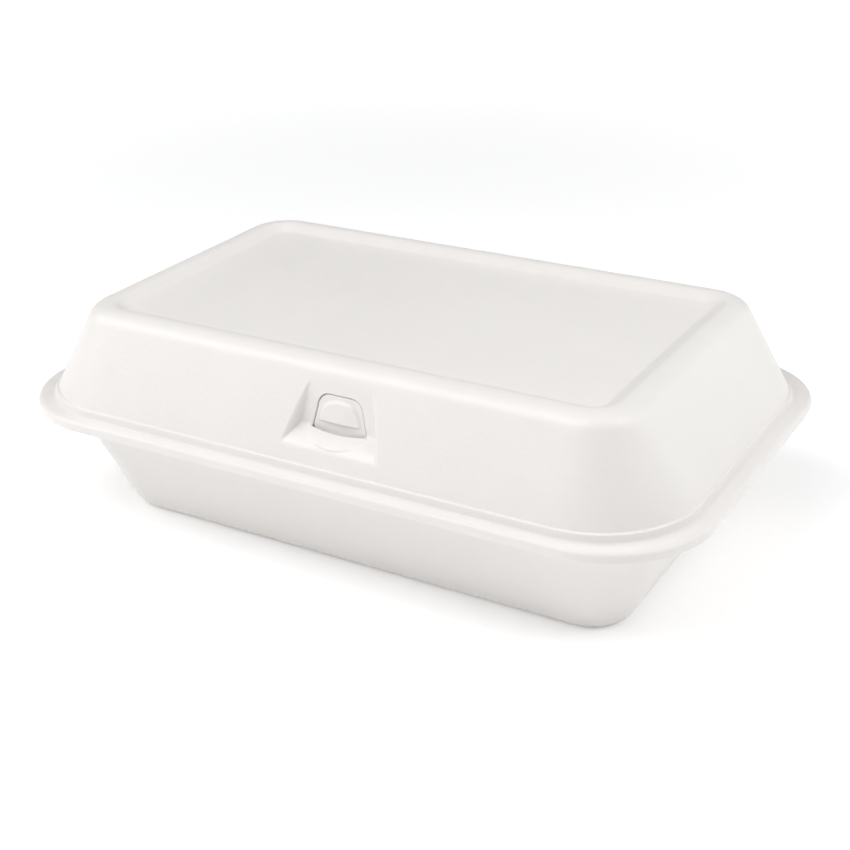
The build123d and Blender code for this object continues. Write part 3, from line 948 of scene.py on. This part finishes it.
def thermoformed_foam(name, roughness, cell_height, wave_height):
    """Polystyrene foam sheet, thermoformed: a warm white, satin skin with fine closed cells.

    The cells give a grain, drawn somewhat coarser than the real half millimetre so that it shows.
    The skin is a little wavy, which breaks up the sheen, and a faint mottle varies the white.
    Light goes a millimetre into the foam, which softens the shade at its edges.
    """
    material = bpy.data.materials.new(name)
    material.use_nodes = True
    tree = material.node_tree
    tree.nodes.clear()
    place = add_node(tree, "ShaderNodeTexCoord").outputs["Object"]
    cells = add_node(
        tree,
        "ShaderNodeTexVoronoi",
        {"Vector": place, "Scale": 1 / (CELL_SIZE * MM)},
        feature="SMOOTH_F1",
    )
    waves = add_node(
        tree,
        "ShaderNodeTexNoise",
        {"Vector": place, "Scale": 1 / (WAVE_LENGTH * MM), "Detail": 2.0, "Roughness": 0.45},
    )
    mottle = add_node(
        tree,
        "ShaderNodeTexNoise",
        {"Vector": place, "Scale": 1 / (MOTTLE_SIZE * MM), "Detail": 4.0, "Roughness": 0.6},
    )
    colour = add_node(
        tree,
        "ShaderNodeMix",
        {"Factor": mottle.outputs["Fac"], "A": linear(FOAM_DARK), "B": linear(FOAM_LIGHT)},
        data_type="RGBA",
    )
    rough = add_node(
        tree,
        "ShaderNodeMapRange",
        {
            "Value": waves.outputs["Fac"],
            "To Min": roughness - SMOOTHER,
            "To Max": roughness + ROUGHER,
        },
    )
    wave_bump = add_node(
        tree,
        "ShaderNodeBump",
        {"Height": waves.outputs["Fac"], "Distance": wave_height * MM, "Strength": 1.0},
    )
    cell_bump = add_node(
        tree,
        "ShaderNodeBump",
        {
            "Height": cells.outputs["Distance"],
            "Distance": cell_height * MM,
            "Strength": 1.0,
            "Normal": wave_bump.outputs["Normal"],
        },
    )
    shader = add_node(
        tree,
        "ShaderNodeBsdfPrincipled",
        {
            "Base Color": colour.outputs["Result"],
            "Roughness": rough.outputs["Result"],
            "Normal": cell_bump.outputs["Normal"],
            "IOR": 1.5,
            "Subsurface Weight": GLOW_SHARE,
            "Subsurface Radius": (1.0, 1.0, 1.0),
            "Subsurface Scale": GLOW_DEPTH * MM,
        },
    )
    add_node(tree, "ShaderNodeOutputMaterial", {"Surface": shader.outputs["BSDF"]})
    return material


# ---------------------------------------------------------------- floor, lights and camera


# The table glows by FLOOR_GLOW up to GLOW_NEAR metres from its middle, and fully from GLOW_FAR on
FLOOR_GLOW = 0.15
GLOW_NEAR = 0.3
GLOW_FAR = 1.2
TABLE_HALF_SIZE = 6.0


def make_floor():
    """Opal acrylic light table: a matt white sheet that also glows, so that only contact shades it."""
    material = bpy.data.materials.new("opal_acrylic")
    material.use_nodes = True
    tree = material.node_tree
    tree.nodes.clear()
    place = add_node(tree, "ShaderNodeTexCoord").outputs["Object"]
    distance = add_node(tree, "ShaderNodeVectorMath", {0: place}, operation="LENGTH")
    glow = add_node(
        tree,
        "ShaderNodeMapRange",
        {
            "Value": distance.outputs["Value"],
            "From Min": GLOW_NEAR,
            "From Max": GLOW_FAR,
            "To Min": FLOOR_GLOW,
            "To Max": 1.0,
        },
        interpolation_type="SMOOTHSTEP",
    )
    shader = add_node(
        tree,
        "ShaderNodeBsdfPrincipled",
        {
            "Base Color": linear("#FFFFFF"),
            "Roughness": 0.9,
            "Specular IOR Level": 0.1,
            "Emission Color": linear("#FFFFFF"),
            "Emission Strength": glow.outputs["Result"],
        },
    )
    add_node(tree, "ShaderNodeOutputMaterial", {"Surface": shader.outputs["BSDF"]})
    mesh = bpy.data.meshes.new("light_table")
    size = TABLE_HALF_SIZE
    corners = [(-size, -size, 0), (size, -size, 0), (size, size, 0), (-size, size, 0)]
    mesh.from_pydata(corners, [], [(0, 1, 2, 3)])
    mesh.materials.append(material)
    floor = bpy.data.objects.new("light_table", mesh)
    bpy.context.scene.collection.objects.link(floor)


def direction(azimuth, elevation):
    """Unit vector to a place: azimuth 0 is in front (-Y), 90 at the right (+X), in degrees."""
    a = math.radians(azimuth)
    e = math.radians(elevation)
    return Vector((math.sin(a) * math.cos(e), -math.cos(a) * math.cos(e), math.sin(e)))


# name, azimuth, elevation, distance in metres, width and height in metres, power in watts
SOFTBOXES = [
    ("left", -65, 30, 1.0, 0.6, 0.6, 2.78),
    ("front_left_high", -30, 52, 1.0, 0.6, 0.6, 3.29),
    ("front_high", 0, 55, 1.0, 0.6, 0.6, 1.55),
    ("right_high", 90, 50, 1.0, 0.6, 0.6, 2.83),
    ("right_rear", 118, 30, 1.0, 0.6, 0.6, 1.81),
    ("right_rear_low", 143, 16, 1.0, 0.6, 0.5, 1.02),
    ("overhead", 0, 88, 1.1, 0.9, 0.9, 2.22),
    ("rear", 180, 35, 1.2, 1.2, 0.5, 0.71),
]
# Strength of the white surroundings as light; the camera itself sees them at full strength
AMBIENT = 0.11


def make_lights():
    """Even white surroundings and a few large softboxes, each aimed at the container's middle."""
    world = bpy.data.worlds.new("white_room")
    bpy.context.scene.world = world
    world.use_nodes = True
    tree = world.node_tree
    tree.nodes.clear()
    seen = add_node(tree, "ShaderNodeLightPath").outputs["Is Camera Ray"]
    strength = add_node(tree, "ShaderNodeMix", {"Factor": seen, "A": AMBIENT, "B": 1.0})
    background = add_node(
        tree,
        "ShaderNodeBackground",
        {"Color": linear("#F9FBFF"), "Strength": strength.outputs["Result"]},
    )
    add_node(tree, "ShaderNodeOutputWorld", {"Surface": background.outputs["Background"]})
    middle = Vector((0, 0, LID_TOP * MM / 2))
    for name, azimuth, elevation, distance, width, height, power in SOFTBOXES:
        light = bpy.data.lights.new(name, "AREA")
        light.shape = "RECTANGLE"
        light.size = width
        light.size_y = height
        light.energy = power
        softbox = bpy.data.objects.new(name, light)
        way = direction(azimuth, elevation)
        softbox.location = middle + way * distance
        softbox.rotation_mode = "QUATERNION"
        softbox.rotation_quaternion = way.to_track_quat("Z", "Y")
        bpy.context.scene.collection.objects.link(softbox)


# Aim and distance in metres, angles in degrees, lens in millimetres, shift in sensor widths
CAMERA_AIM = Vector((3.15, 1.0, 35.0)) * MM
CAMERA_DISTANCE = 494.9 * MM
CAMERA_AZIMUTH = 30.09
CAMERA_ELEVATION = 24.73
CAMERA_ROLL = 1.06
CAMERA_LENS = 63.55
CAMERA_SHIFT = (-0.0053, -0.0198)


def make_camera():
    """Camera in front and to the right, with its right and up turned about the view by the roll."""
    back = direction(CAMERA_AZIMUTH, CAMERA_ELEVATION)
    azimuth = math.radians(CAMERA_AZIMUTH)
    right = Vector((math.cos(azimuth), math.sin(azimuth), 0))
    up = back.cross(right)
    roll = math.radians(CAMERA_ROLL)
    rolled_right = right * math.cos(roll) - up * math.sin(roll)
    rolled_up = right * math.sin(roll) + up * math.cos(roll)
    lens = bpy.data.cameras.new("camera")
    lens.lens = CAMERA_LENS
    lens.sensor_width = 36.0
    lens.shift_x, lens.shift_y = CAMERA_SHIFT
    lens.clip_start = 0.01
    lens.clip_end = 50.0
    camera = bpy.data.objects.new("camera", lens)
    turned = Matrix((rolled_right, rolled_up, back)).transposed().to_4x4()
    camera.matrix_world = Matrix.Translation(CAMERA_AIM + back * CAMERA_DISTANCE) @ turned
    bpy.context.scene.collection.objects.link(camera)
    bpy.context.scene.camera = camera


foam = thermoformed_foam(
    "thermoformed_polystyrene_foam", roughness=0.35, cell_height=0.05, wave_height=0.10
)
pressed = thermoformed_foam(
    "pressed_polystyrene_foam", roughness=0.40, cell_height=0.03, wave_height=0.04
)
columns, front_columns = make_columns()
make_tray(columns, foam)
make_lid(columns, front_columns, foam)
make_lock_tab(foam)
make_fold(pressed)
make_floor()
make_lights()
make_camera()
bpy.context.scene.view_settings.view_transform = "Standard"
